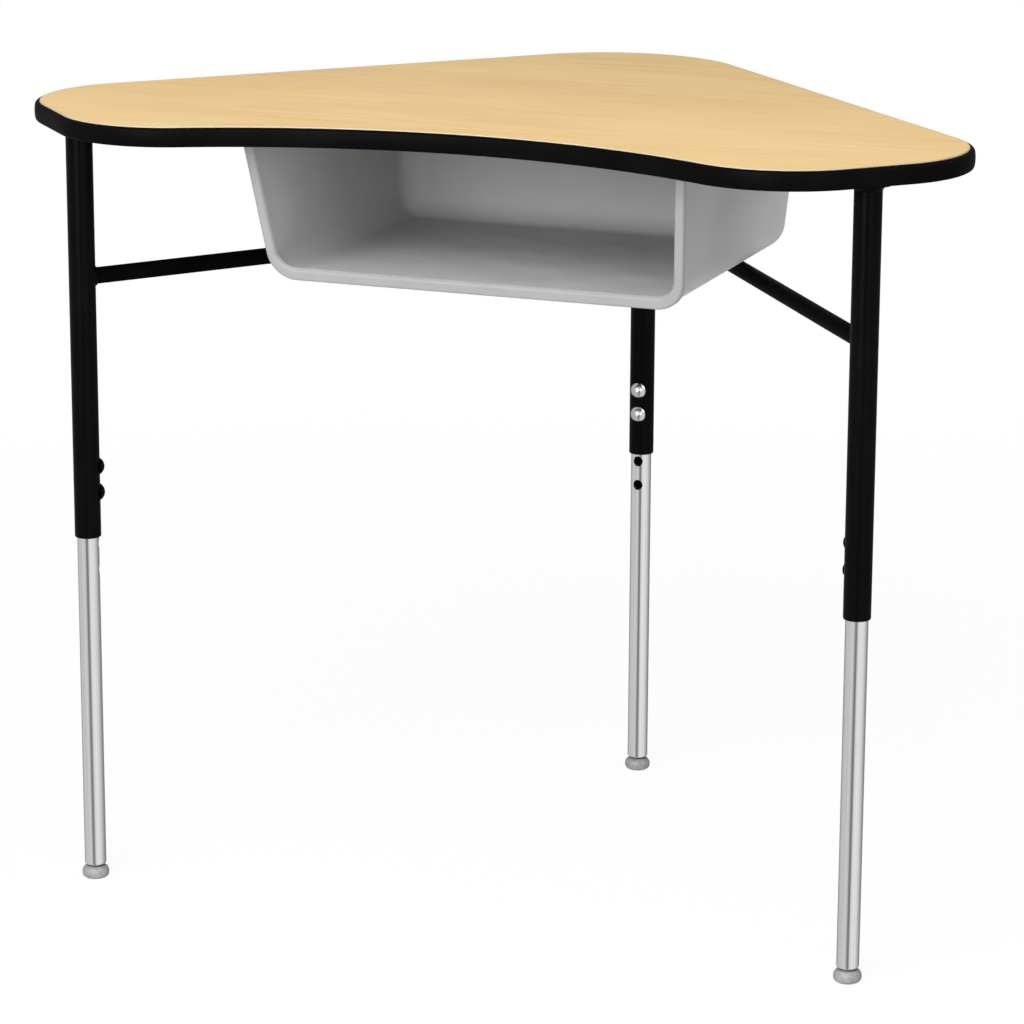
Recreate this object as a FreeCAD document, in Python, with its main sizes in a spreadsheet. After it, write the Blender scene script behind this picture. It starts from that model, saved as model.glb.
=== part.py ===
import FreeCAD, Part
import math
import os
import re

import Sketcher
from FreeCAD import Vector

# Curved student desk on three adjustable legs. Millimetres, +Z up. The origin is on the floor under the
# middle of the desktop's box: X runs along the width, and the user sits on the -Y side.

# Driving dimensions
SIZES = {
    # Desktop, with its edge band
    "desk_width": 912.0,
    "desk_depth": 625.5,
    "desk_height": 762.0,
    "laminate_thickness": 1.2,
    "core_thickness": 17.0,
    "backer_thickness": 0.8,
    "rear_corner_radius": 133.0,
    "arm_outer_radius": 105.0,
    "arm_front_radius": 105.0,
    "arm_outer_setback": 158.75,
    "arm_front_inset": 156.0,
    "front_curve_radius": 543.0,
    # Edge band, a T-moulding whose barb sits in a groove of the core
    "band_proud": 5.0,
    "band_rounding": 3.6,
    "barb_length": 9.0,
    "barb_thickness": 2.4,
    "barb_clearance": 0.15,
    # Legs
    "front_leg_inset": 72.0,
    "front_leg_setback": 82.25,
    "rear_leg_setback": 27.25,
    "upper_leg_diameter": 25.4,
    "upper_leg_wall": 1.9,
    "upper_leg_below_bolt": 43.5,
    "upper_leg_end_rounding": 1.2,
    "insert_diameter": 21.0,
    "insert_wall": 1.5,
    "insert_end_height": 13.4,
    "insert_end_rounding": 2.8,
    "insert_mouth_diameter": 14.8,
    "insert_top_margin": 25.0,
    # Height adjustment: two bolts for each leg, and a row of holes in the insert
    "bolt_height": 390.0,
    "hole_pitch": 25.4,
    "notches_each_way": 3,
    "front_bolt_turn": 36.0,
    "bolt_head_diameter": 16.0,
    "bolt_head_height": 4.6,
    "bolt_shank_diameter": 8.0,
    "bolt_shank_length": 9.5,
    "upper_hole_clearance": 0.3,
    "dimple_diameter": 3.6,
    "dimple_depth": 0.9,
    "dimple_drop": 19.3,
    "insert_hole_clearance": 0.4,
    "insert_funnel_width": 1.05,
    "insert_funnel_depth": 2.6,
    "insert_collar_wall": 1.3,
    "insert_collar_length": 3.2,
    # Braces
    "brace_diameter": 15.9,
    "brace_wall": 1.5,
    "brace_box_gap": 0.3,
    "brace_rear_offset": 1.6,
    "cope_gap": 0.05,
    # Mount plates welded on the upper legs
    "plate_thickness": 3.0,
    "plate_outer_reach": 15.0,
    "plate_inner_reach": 82.0,
    "plate_width": 38.0,
    "plate_corner_radius": 12.0,
    "plate_front_turn": 45.0,
    "plate_screw_near": 32.0,
    "plate_screw_far": 68.0,
    "plate_screw_across": 12.0,
    # Wood screws
    "screw_diameter": 4.8,
    "screw_head_diameter": 9.5,
    "screw_head_height": 2.8,
    "screw_head_rounding": 1.6,
    "recess_length": 4.6,
    "recess_width": 1.1,
    "recess_depth": 1.7,
    "screw_bite": 14.0,
    "screw_hole_clearance": 0.35,
    "pilot_clearance": 0.05,
    # Book box
    "box_depth": 134.5,
    "box_half_width": 201.5,
    "box_flare": 12.0,
    "box_setback": 116.25,
    "box_rake": 36.0,
    "box_to_rear_plate": 58.5,
    "box_wall": 4.0,
    "box_corner_radius": 26.0,
    "rim_width": 7.5,
    "rim_length": 8.0,
    "rim_flare": 2.5,
    "rim_lip_rise": 2.0,
    "rim_rounding": 3.0,
    "rim_back_rounding": 3.0,
    "rim_flare_rounding": 1.8,
    "flange_width": 18.0,
    "flange_thickness": 4.0,
    "flange_front_gap": 30.0,
    "flange_rear_gap": 60.0,
    "box_screw_inset": 9.0,
    "box_screw_end_gap": 28.0,
    # Glides
    "plug_length": 18.0,
    "plug_fit": 0.02,
    "ball_height": 6.2,
    "ball_diameter": 10.0,
    "ball_clearance": 0.05,
    "neck_diameter": 5.2,
    "collar_diameter": 10.4,
    "collar_thickness": 1.2,
    "stud_diameter": 7.0,
    "stud_clearance": 0.05,
    "stud_end_diameter": 9.6,
    "stud_end_thickness": 1.5,
    "stud_play": 0.05,
    "glide_diameter": 26.2,
    "glide_height": 12.4,
    "glide_top_rounding": 6.4,
    "glide_foot_rounding": 4.6,
    "glide_mouth_diameter": 8.6,
    # How far a cutting shape runs past the piece that it cuts
    "cut_margin": 2.0,
}

# Sizes that follow from the driving dimensions
WORKED_OUT = {
    "underside": "desk_height - laminate_thickness - core_thickness - backer_thickness",
    "top_thickness": "laminate_thickness + core_thickness + backer_thickness",
    "core_base": "underside + backer_thickness",
    "plate_base": "underside - plate_thickness",
    "rear_arc_y": "desk_depth / 2 - band_proud - rear_corner_radius",
    "arm_outer_x": "desk_width / 2 - band_proud - arm_outer_radius",
    "arm_outer_y": "arm_outer_setback - desk_depth / 2",
    "arm_front_x": "desk_width / 2 - arm_front_inset",
    "arm_front_y": "band_proud + arm_front_radius - desk_depth / 2",
    "front_leg_x": "desk_width / 2 - front_leg_inset",
    "front_leg_y": "front_leg_setback - desk_depth / 2",
    "rear_leg_y": "desk_depth / 2 - rear_leg_setback",
    "upper_leg_radius": "upper_leg_diameter / 2",
    "upper_leg_end_height": "bolt_height - upper_leg_below_bolt",
    "insert_radius": "insert_diameter / 2",
    "insert_bore_radius": "insert_diameter / 2 - insert_wall",
    "insert_hole_radius": "bolt_shank_diameter / 2 + insert_hole_clearance",
    "hole_count": "2 * notches_each_way + 2",
    "lowest_hole": "bolt_height - notches_each_way * hole_pitch",
    "insert_top": "lowest_hole + (hole_count - 1) * hole_pitch + insert_top_margin",
    "box_floor": "underside - box_depth",
    "box_front_y": "box_setback - desk_depth / 2",
    "box_rear_y": "rear_leg_y - plate_inner_reach - box_to_rear_plate - box_flare",
    "brace_height": "box_floor - brace_box_gap - brace_diameter / 2",
    "brace_run": "front_leg_x - brace_rear_offset",
    "brace_reach": "rear_leg_y - front_leg_y",
    "brace_length": "sqrt(brace_run ^ 2 + brace_reach ^ 2)",
    "brace_turn": "90 - atan(brace_run / brace_reach) / 1 deg",
    "box_top_half": "box_half_width + box_flare",
    "flange_front": "box_front_y - box_rake + flange_front_gap",
    "flange_rear": "box_rear_y + box_flare - flange_rear_gap",
    "plug_base": "insert_end_height + insert_wall",
    "collar_top": "plug_base - stud_play",
}

doc = FreeCAD.newDocument("curved_student_desk")
sheet = doc.addObject("Spreadsheet::Sheet", "sizes")
for row, (name, number) in enumerate(SIZES.items(), start=1):
    sheet.set(f"A{row}", name)
    sheet.set(f"B{row}", str(number))
    sheet.setAlias(f"B{row}", name)
for row, (name, formula) in enumerate(WORKED_OUT.items(), start=len(SIZES) + 2):
    sheet.set(f"A{row}", name)
    sheet.set(f"B{row}", f"={formula}")
    sheet.setAlias(f"B{row}", name)
doc.recompute()

NAMES = {*SIZES, *WORKED_OUT}


def bound(text):
    """Writes an expression with the sheet's name before each size in it."""
    return re.sub(r"[a-z][a-z_]+", lambda word: f"sizes.{word[0]}" if word[0] in NAMES else word[0], text)


def value(text):
    """Works out an expression of sizes as a plain number."""
    number = sheet.evalExpression(bound(text))
    return float(getattr(number, "Value", number))


def bind(thing, **expressions):
    """Binds properties of an object to expressions of sizes."""
    for name, text in expressions.items():
        thing.setExpression(name, bound(text))


def place(thing, x="0", y="0", z="0", turn="0"):
    """Puts an object at a point, turned about the upright axis by an angle in degrees."""
    base = f"create(<<vector>>; {x}; {y}; {z})"
    rotation = f"create(<<rotation>>; create(<<vector>>; 0; 0; 1); {turn})"
    thing.setExpression("Placement", bound(f"create(<<placement>>; {base}; {rotation})"))


def new_body(label, x="0", y="0", z="0", turn="0"):
    """Starts a piece at its place."""
    body = doc.addObject("PartDesign::Body", label)
    body.Label = label
    place(body, x, y, z, turn)
    return body


def origin_plane(body, role):
    """One of the body's own planes."""
    return next(plane for plane in body.Origin.OriginFeatures if plane.Role == role)


def new_sketch(body, name, plane="XY_Plane", lift="0"):
    """Starts a sketch on one of the body's own planes, lifted along the plane's normal."""
    sketch = body.newObject("Sketcher::SketchObject", name)
    sketch.AttachmentSupport = [(origin_plane(body, plane), "")]
    sketch.MapMode = "FlatFace"
    sketch.setExpression("AttachmentOffset.Base.z", bound(lift))
    return sketch


def dimension(sketch, text, kind, *geometry):
    """Adds a dimension to a sketch and binds it to an expression of sizes."""
    index = sketch.addConstraint(Sketcher.Constraint(kind, *geometry, value(text)))
    sketch.setExpression(f"Constraints[{index}]", bound(text))


def pin_point(sketch, shape, end, x, y):
    """Holds a point of a sketch's line or arc at x, y. The third end of an arc is its centre."""
    for kind, text, axis in (("DistanceX", x, -2), ("DistanceY", y, -1)):
        if text == "0":
            sketch.addConstraint(Sketcher.Constraint("PointOnObject", shape, end, axis))
        elif value(text) > 0:
            dimension(sketch, text, kind, -1, 1, shape, end)
        else:
            dimension(sketch, f"-({text})", kind, shape, end, -1, 1)


def circle(sketch, radius, x="0", y="0"):
    """Draws a circle."""
    centre = Vector(value(x), value(y), 0)
    shape = sketch.addGeometry(Part.Circle(centre, Vector(0, 0, 1), value(radius)))
    dimension(sketch, radius, "Radius", shape)
    pin_point(sketch, shape, 3, x, y)


def polygon(sketch, corners):
    """Draws a closed outline through corners, each given as two expressions."""
    points = [Vector(value(x), value(y), 0) for x, y in corners]
    lines = [
        sketch.addGeometry(Part.LineSegment(start, end))
        for start, end in zip(points, points[1:] + points[:1])
    ]
    for line, following in zip(lines, lines[1:] + lines[:1]):
        sketch.addConstraint(Sketcher.Constraint("Coincident", line, 2, following, 1))
    for line, (x, y) in zip(lines, corners):
        pin_point(sketch, line, 1, x, y)


def tangent_angle(start, start_radius, end, end_radius):
    """The outward normal of the line that touches two circles on the right of the way between them."""
    way = end - start
    lean = math.acos((start_radius - end_radius) / way.Length)
    return math.atan2(way.y, way.x) - lean


def desktop_outline(sketch, grow="0"):
    """Draws the desktop's plan shape, grown outwards: a round rear corner, straight sides, two arms with
    rounded ends and a front edge that curves in. All its arcs and lines run into each other smoothly."""
    rear = Vector(0, value("rear_arc_y"), 0)
    outer = Vector(value("arm_outer_x"), value("arm_outer_y"), 0)
    front = Vector(value("arm_front_x"), value("arm_front_y"), 0)
    rear_r, outer_r, front_r, curve_r = (
        value(name)
        for name in ("rear_corner_radius", "arm_outer_radius", "arm_front_radius", "front_curve_radius")
    )
    curve = Vector(0, front.y - math.sqrt((front_r + curve_r) ** 2 - front.x**2), 0)
    side = tangent_angle(outer, outer_r, rear, rear_r)
    end = tangent_angle(front, front_r, outer, outer_r)
    inward = math.atan2(curve.y - front.y, curve.x - front.x)
    bend = math.atan2(front.y - curve.y, front.x - curve.x)
    growth = value(grow)

    def arc(centre, radius, start_angle, end_angle):
        ring = Part.Circle(centre, Vector(0, 0, 1), radius)
        return sketch.addGeometry(Part.ArcOfCircle(ring, start_angle, end_angle))

    def mirrored(point):
        return Vector(-point.x, point.y, 0)

    def line(arc_before, arc_after):
        start, finish = sketch.getPoint(arc_before, 2), sketch.getPoint(arc_after, 1)
        return sketch.addGeometry(Part.LineSegment(start, finish))

    rear_arc = arc(rear, rear_r + growth, side, math.pi - side)
    left_outer = arc(mirrored(outer), outer_r + growth, math.pi - side, math.pi - end)
    left_front = arc(mirrored(front), front_r + growth, math.pi - end, math.pi - inward)
    front_arc = arc(curve, curve_r - growth, bend, math.pi - bend)
    right_front = arc(front, front_r + growth, inward, end)
    right_outer = arc(outer, outer_r + growth, end, side)
    left_side = line(rear_arc, left_outer)
    left_end = line(left_outer, left_front)
    right_end = line(right_front, right_outer)
    right_side = line(right_outer, rear_arc)

    joins = [
        (rear_arc, 2, left_side, 1),
        (left_side, 2, left_outer, 1),
        (left_outer, 2, left_end, 1),
        (left_end, 2, left_front, 1),
        (left_front, 2, front_arc, 2),
        (front_arc, 1, right_front, 1),
        (right_front, 2, right_end, 1),
        (right_end, 2, right_outer, 1),
        (right_outer, 2, right_side, 1),
        (right_side, 2, rear_arc, 1),
    ]
    for join in joins:
        sketch.addConstraint(Sketcher.Constraint("Tangent", *join))
    dimension(sketch, f"front_curve_radius - ({grow})", "Radius", front_arc)
    centred_arcs = [
        (rear_arc, "rear_corner_radius", "0", "rear_arc_y"),
        (left_outer, "arm_outer_radius", "-arm_outer_x", "arm_outer_y"),
        (right_outer, "arm_outer_radius", "arm_outer_x", "arm_outer_y"),
        (left_front, "arm_front_radius", "-arm_front_x", "arm_front_y"),
        (right_front, "arm_front_radius", "arm_front_x", "arm_front_y"),
    ]
    for shape, radius, x, y in centred_arcs:
        dimension(sketch, f"{radius} + {grow}", "Radius", shape)
        pin_point(sketch, shape, 3, x, y)


def pad(body, sketch, length, reverse=False):
    """Adds material along the sketch's normal, or against it."""
    feature = body.newObject("PartDesign::Pad", f"{sketch.Name}_pad")
    feature.Profile = sketch
    feature.Reversed = reverse
    bind(feature, Length=length)
    return feature


def pocket(body, sketch, length, along_normal=True):
    """Cuts along the sketch's normal, or against it, and checks that material went away."""
    doc.recompute()
    before = body.Shape.Volume
    feature = body.newObject("PartDesign::Pocket", f"{sketch.Name}_pocket")
    feature.Profile = sketch
    feature.Reversed = along_normal
    bind(feature, Length=length)
    doc.recompute()
    if body.Shape.Volume > before - 1e-6:
        raise ValueError(f"{feature.Name} cuts nothing")
    return feature


def round_edges(body, name, radius, wanted):
    """Rounds the edges of a body's shape that wanted picks out."""
    doc.recompute()
    base = body.Tip
    names = [f"Edge{number}" for number, edge in enumerate(base.Shape.Edges, start=1) if wanted(edge)]
    if not names:
        raise ValueError(f"{name} finds no edge")
    feature = body.newObject("PartDesign::Fillet", name)
    feature.Base = (base, names)
    bind(feature, Radius=radius)
    return feature


def lies_at(edge, **levels):
    """Whether an edge lies wholly at a level along x, y or z."""
    box = edge.BoundBox
    spans = {"x": (box.XMin, box.XMax), "y": (box.YMin, box.YMax), "z": (box.ZMin, box.ZMax)}
    return all(abs(limit - level) < 1e-4 for axis, level in levels.items() for limit in spans[axis])


def boolean(kind, label, first, *others):
    """Joins, cuts or intersects objects. Several tools are joined first."""
    if kind == "Part::MultiFuse":
        result = doc.addObject(kind, label)
        result.Shapes = [first, *others]
    else:
        result = doc.addObject(kind, label)
        result.Base = first
        result.Tool = others[0] if len(others) == 1 else boolean("Part::MultiFuse", f"{label}_tools", *others)
    result.Label = label
    return result


def cylinder(label, radius, height, x="0", y="0", z="0"):
    """An upright cylinder, used to cut other pieces."""
    shape = doc.addObject("Part::Cylinder", label)
    bind(shape, Radius=radius, Height=height)
    place(shape, x, y, z)
    return shape


# Each leg's name, place on the floor, the way its bolts face, and the way its mount plate points
LEGS = [
    ("left", "-front_leg_x", "front_leg_y", "front_bolt_turn", "plate_front_turn"),
    ("right", "front_leg_x", "front_leg_y", "180 - front_bolt_turn", "180 - plate_front_turn"),
    ("rear", "0", "rear_leg_y", "-90", "-90"),
]

# Wood screw places on a mount plate, along it from the leg's axis and across it
PLATE_SCREWS = [
    (along, across)
    for along in ("plate_screw_near", "plate_screw_far")
    for across in ("-plate_screw_across", "plate_screw_across")
]

# The same places on the desktop
DESKTOP_PLATE_SCREWS = [
    (
        f"{x} + {along} * cos({turn}) - ({across}) * sin({turn})",
        f"{y} + {along} * sin({turn}) + ({across}) * cos({turn})",
    )
    for _, x, y, _, turn in LEGS
    for along, across in PLATE_SCREWS
]

# Wood screw places on the book box's two side flanges
BOX_SCREWS = [
    (f"{side} * (box_top_half + box_screw_inset)", y)
    for side in ("-1", "1")
    for y in (
        "flange_front + box_screw_end_gap",
        "(flange_front + flange_rear) / 2",
        "flange_rear - box_screw_end_gap",
    )
]

nodes = []


def desktop_sheet(label, base, thickness):
    """A flat layer with the desktop's plan shape."""
    body = new_body(label, z=base)
    sketch = new_sketch(body, f"{label}_outline")
    desktop_outline(sketch)
    pad(body, sketch, thickness)
    return body


def drill_for_screws(body, name, depth):
    """Drills the pilot holes of all wood screws upwards from the layer's underside."""
    sketch = new_sketch(body, name)
    for x, y in DESKTOP_PLATE_SCREWS + BOX_SCREWS:
        circle(sketch, "screw_diameter / 2 + pilot_clearance", x, y)
    pocket(body, sketch, depth)


# Particleboard core, grooved round its edge for the band's barb and drilled for the screws
core = desktop_sheet("desktop_core", "core_base", "core_thickness")
groove = new_sketch(
    core,
    "groove_outline",
    lift="top_thickness / 2 - backer_thickness - barb_thickness / 2 - barb_clearance",
)
desktop_outline(groove, "cut_margin")
desktop_outline(groove, "-(barb_length + barb_clearance)")
pocket(core, groove, "barb_thickness + 2 * barb_clearance")
drill_for_screws(core, "core_pilot_holes", "screw_bite + barb_clearance")
nodes.append(core)

# Laminate on top of the core and backer sheet below it
laminate = desktop_sheet("top_laminate", "desk_height - laminate_thickness", "laminate_thickness")
nodes.append(laminate)
backer = desktop_sheet("backer_sheet", "underside", "backer_thickness")
drill_for_screws(backer, "backer_pilot_holes", "backer_thickness")
nodes.append(backer)

# Edge band: a T-moulding with a rounded face as tall as the desktop, and a barb
band = new_body("edge_band", z="underside")
band_face = new_sketch(band, "band_face")
desktop_outline(band_face, "band_proud")
desktop_outline(band_face)
pad(band, band_face, "top_thickness")
barb = new_sketch(band, "band_barb", lift="top_thickness / 2 - barb_thickness / 2")
desktop_outline(barb, "band_proud / 2")
desktop_outline(barb, "-barb_length")
pad(band, barb, "barb_thickness")
doc.recompute()
band_rims = [
    edge
    for face in band.Tip.Shape.Faces
    if abs(face.normalAt(0, 0).z) > 0.999 and face.OuterWire.BoundBox.XLength > value("desk_width") - 0.01
    for edge in face.OuterWire.Edges
]
round_edges(band, "band_rims", "band_rounding", lambda edge: any(edge.isSame(rim) for rim in band_rims))
nodes.append(band)


def mount_plate(label, x, y, turn):
    """A steel plate that is welded on an upper leg, and points inwards from it."""
    body = new_body(label, x, y, "plate_base", turn)
    blank = new_sketch(body, f"{label}_blank")
    half = "plate_width / 2"
    near, far = "-plate_outer_reach", "plate_inner_reach"
    polygon(blank, [(near, f"-{half}"), (far, f"-{half}"), (far, half), (near, half)])
    pad(body, blank, "plate_thickness")
    round_edges(body, f"{label}_corners", "plate_corner_radius", lambda edge: edge.BoundBox.ZLength > 1)
    holes = new_sketch(body, f"{label}_holes")
    for along, across in PLATE_SCREWS:
        circle(holes, "screw_diameter / 2 + screw_hole_clearance", along, across)
    pocket(body, holes, "plate_thickness")
    return body


def wood_screws(label, places, seat, grip):
    """A group of pan-head wood screws: heads below the seat, each with a cross recess, and shanks up through
    the grip into the core."""
    body = new_body(label, z=seat)
    shanks = new_sketch(body, f"{label}_shanks")
    heads = new_sketch(body, f"{label}_heads")
    for x, y in places:
        circle(shanks, "screw_diameter / 2", x, y)
        circle(heads, "screw_head_diameter / 2", x, y)
    pad(body, heads, "screw_head_height", reverse=True)
    pad(body, shanks, f"{grip} + backer_thickness + screw_bite")
    doc.recompute()
    lowest = -value("screw_head_height")
    round_edges(body, f"{label}_rims", "screw_head_rounding", lambda edge: lies_at(edge, z=lowest))
    for way, length, width in (
        ("across", "recess_length / 2", "recess_width / 2"),
        ("along", "recess_width / 2", "recess_length / 2"),
    ):
        slots = new_sketch(body, f"{label}_slots_{way}", lift="-screw_head_height")
        for x, y in places:
            left, right = f"{x} - {length}", f"{x} + {length}"
            low, high = f"{y} - {width}", f"{y} + {width}"
            polygon(slots, [(left, low), (right, low), (right, high), (left, high)])
        pocket(body, slots, "recess_depth")
    return body


# Mount plates and their screws
for name, x, y, _, turn in LEGS:
    nodes.append(mount_plate(f"{name}_mount_plate", x, y, turn))
nodes.append(wood_screws("plate_screws", DESKTOP_PLATE_SCREWS, "plate_base", "plate_thickness"))


def upper_leg(label, x, y, turn):
    """A round tube from the mount plate down to its rounded lower end, with two holes for the bolts and a
    small dimple below them."""
    body = new_body(label, x, y, "upper_leg_end_height", turn)
    ring = new_sketch(body, f"{label}_ring")
    circle(ring, "upper_leg_radius")
    circle(ring, "upper_leg_radius - upper_leg_wall")
    pad(body, ring, "plate_base - upper_leg_end_height")
    outside = value("upper_leg_diameter")
    round_edges(
        body,
        f"{label}_end",
        "upper_leg_end_rounding",
        lambda edge: lies_at(edge, z=0) and edge.BoundBox.XLength > outside - 0.1,
    )
    holes = new_sketch(body, f"{label}_bolt_holes", "YZ_Plane")
    lower_bolt = "bolt_height - upper_leg_end_height"
    for lift in ("0", "hole_pitch"):
        circle(holes, "bolt_shank_diameter / 2 + upper_hole_clearance", y=f"{lower_bolt} + {lift}")
    pocket(body, holes, "upper_leg_diameter")
    dimple = new_sketch(body, f"{label}_dimple", "YZ_Plane", "upper_leg_radius - dimple_depth")
    circle(dimple, "dimple_diameter / 2", y=f"{lower_bolt} - dimple_drop")
    pocket(body, dimple, "dimple_depth + cut_margin")
    return body


def adjust_bolts(label, x, y, turn):
    """Two domed bolts, one above the other, whose heads bear on the upper leg."""
    body = new_body(label, x, y, "bolt_height", turn)
    section = new_sketch(body, f"{label}_section", "XZ_Plane")
    seat, tip = "upper_leg_radius", "upper_leg_radius - bolt_shank_length"
    crown = "upper_leg_radius + bolt_head_height"
    head, shank = "bolt_head_diameter / 2", "bolt_shank_diameter / 2"
    corners = [(tip, "0"), (crown, "0"), (seat, head), (seat, shank), (tip, shank)]
    points = [Vector(value(across), value(up), 0) for across, up in corners]
    head_radius, head_height = value(head), value("bolt_head_height")
    dome_radius = (head_radius**2 + head_height**2) / (2 * head_height)
    ring = Part.Circle(Vector(points[1].x - dome_radius, 0, 0), Vector(0, 0, 1), dome_radius)
    dome = Part.ArcOfCircle(ring, 0, math.asin(head_radius / dome_radius))
    shapes = [Part.LineSegment(start, end) for start, end in zip(points, points[1:] + points[:1])]
    shapes[1] = dome
    edges = list(section.addGeometry(shapes))
    for edge, following in zip(edges, edges[1:] + edges[:1]):
        section.addConstraint(Sketcher.Constraint("Coincident", edge, 2, following, 1))
    for edge, (across, up) in zip(edges, corners):
        pin_point(section, edge, 1, across, up)
    section.addConstraint(Sketcher.Constraint("PointOnObject", edges[1], 3, -1))
    turned = body.newObject("PartDesign::Revolution", f"{label}_turned")
    turned.Profile = section
    turned.ReferenceAxis = (section, ["H_Axis"])
    turned.Angle = 360
    doc.recompute()
    pair = body.newObject("PartDesign::LinearPattern", f"{label}_pair")
    pair.Originals = [turned]
    pair.Direction = (section, ["V_Axis"])
    pair.Occurrences = 2
    bind(pair, Length="hole_pitch")
    body.Tip = pair
    return body


# Upper legs
for name, x, y, bolt_turn, _ in LEGS:
    nodes.append(upper_leg(f"{name}_upper_leg", x, y, bolt_turn))


def brace(label, side, turn):
    """A round tube from a front leg to the rear leg, its ends shaped to the legs that they are welded to."""
    body = new_body(f"{label}_tube", f"{side} * front_leg_x", "front_leg_y", "brace_height", turn)
    ring = new_sketch(body, f"{label}_ring", "YZ_Plane")
    circle(ring, "brace_diameter / 2")
    circle(ring, "brace_diameter / 2 - brace_wall")
    pad(body, ring, "brace_length")
    cope = "upper_leg_radius + cope_gap"
    low, tall = "brace_height - brace_diameter", "2 * brace_diameter"
    front_cope = cylinder(f"{label}_front_cope", cope, tall, f"{side} * front_leg_x", "front_leg_y", low)
    rear_cope = cylinder(f"{label}_rear_cope", cope, tall, "0", "rear_leg_y", low)
    return boolean("Part::Cut", label, body, front_cope, rear_cope)


# Braces, from the left and right legs
BRACE_SIDES = [("left", "-1", "brace_turn"), ("right", "1", "180 - brace_turn")]
for name, side, turn in BRACE_SIDES:
    nodes.append(brace(f"{name}_brace", side, turn))


def tub(label, inset, low, high, front_shift, rear, rear_closed=True):
    """A tub that widens upwards, with a mouth that leans forward. Inset draws its sides and rear in, and
    front_shift moves its mouth back. Its lower and rear edges are rounded."""
    body = new_body(label)
    frustum = body.newObject("PartDesign::AdditiveWedge", f"{label}_frustum")
    frustum.AttachmentSupport = [(origin_plane(body, "XZ_Plane"), "")]
    frustum.MapMode = "FlatFace"
    bind(frustum, Ymin=low, Ymax=high)
    for level, prefix in ((low, ""), (high, "2")):
        rise = f"({level} - box_floor) / box_depth"
        half = f"(box_half_width + box_flare * {rise} - {inset})"
        front = f"(box_front_y - box_rake * {rise} + {front_shift})"
        back = rear.format(rise=rise, front=front)
        bind(frustum, **{f"X{prefix}min": f"-{half}", f"X{prefix}max": half})
        bind(frustum, **{f"Z{prefix}min": f"-({back})", f"Z{prefix}max": f"-{front}"})
    doc.recompute()
    top = frustum.Shape.BoundBox.ZMax
    middle = frustum.Shape.CenterOfMass
    open_faces = [
        face
        for face in frustum.Shape.Faces
        if face.CenterOfMass.z > top - 1e-3
        or abs(face.normalAt(0, 0).y) > 0.9 and (face.CenterOfMass.y < middle.y or not rear_closed)
    ]
    round_edges(
        body,
        f"{label}_corners",
        f"box_corner_radius - {inset}",
        lambda edge: not any(edge.isSame(rim) for face in open_faces for rim in face.Edges),
    )
    return body


# Book box: a moulded tub above the braces, with a thick flared rim round its mouth and a flange on each side,
# which is screwed to the desktop
outer_tub = tub("box_outer", "0", "box_floor", "underside", "0", "box_rear_y + box_flare * {rise}")
flared_rim = tub(
    "box_rim",
    "(-rim_flare)",
    "(box_floor - rim_flare)",
    "underside",
    "0",
    "{front} + rim_length",
    rear_closed=False,
)
cavity = tub(
    "box_cavity",
    "box_wall",
    "(box_floor + box_wall)",
    "(underside + cut_margin)",
    "rim_length",
    "box_rear_y + box_flare * {rise} - box_wall",
)
mouth = tub(
    "box_mouth",
    "rim_width",
    "(box_floor + rim_width + rim_lip_rise)",
    "(underside + cut_margin)",
    "-cut_margin",
    "{front} + rim_length + 2 * cut_margin",
    rear_closed=False,
)
rimmed_tub = boolean("Part::MultiFuse", "box_rimmed", outer_tub, flared_rim)
rimmed_tub.Refine = True
shell = boolean("Part::Cut", "box_shell", rimmed_tub, cavity, mouth)
doc.recompute()
rake_angle = math.atan2(value("box_rake"), value("box_depth"))
mouth_normal = Vector(0, -math.cos(rake_angle), -math.sin(rake_angle))
rim_front, *rim_backs = sorted(
    (face for face in shell.Shape.Faces if abs(face.normalAt(0, 0).dot(mouth_normal)) > 1 - 1e-4),
    key=lambda face: face.CenterOfMass.y,
)


def middle_of(edge):
    """The point halfway along an edge."""
    return edge.valueAt((edge.FirstParameter + edge.LastParameter) / 2)


def on_mouth(edge):
    """Whether an edge lies on the mouth's sides."""
    middle = Part.Vertex(middle_of(edge))
    return any(face.distToShape(middle)[0] < 1e-3 for face in mouth.Shape.Faces)


def on_flare(edge):
    """Whether an edge lies outside the tub that the rim stands out from."""
    return not outer_tub.Shape.isInside(middle_of(edge), 1e-3, True)


def rim_edges(faces, radius, wanted=lambda edge: True):
    """The edges of rim faces below the desktop, numbered with their radii for a fillet."""
    top = value("underside") - 1e-3
    low_edges = [
        edge for face in faces for edge in face.Edges if edge.CenterOfMass.z < top and wanted(edge)
    ]
    return [
        (number, value(radius), value(radius))
        for number, edge in enumerate(shell.Shape.Edges, start=1)
        if any(edge.isSame(low) for low in low_edges)
    ]


rounded_shell = doc.addObject("Part::Fillet", "box_rounded_shell")
rounded_shell.Base = shell
rounded_shell.Edges = [
    *rim_edges([rim_front], "rim_rounding"),
    *rim_edges(rim_backs, "rim_back_rounding", on_mouth),
    *rim_edges(rim_backs, "rim_flare_rounding", on_flare),
]


def flange(label, side):
    """A strip along the top of one of the box's sides, drilled for its screws."""
    body = new_body(label, z="underside - flange_thickness")
    strip = new_sketch(body, f"{label}_strip")
    inner, outer = f"{side} * (box_top_half - box_wall)", f"{side} * (box_top_half + flange_width)"
    polygon(
        strip,
        [(inner, "flange_front"), (outer, "flange_front"), (outer, "flange_rear"), (inner, "flange_rear")],
    )
    pad(body, strip, "flange_thickness")
    holes = new_sketch(body, f"{label}_holes")
    for x, y in BOX_SCREWS:
        if x.startswith(f"{side} "):
            circle(holes, "screw_diameter / 2 + screw_hole_clearance", x, y)
    pocket(body, holes, "flange_thickness")
    return body


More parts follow.
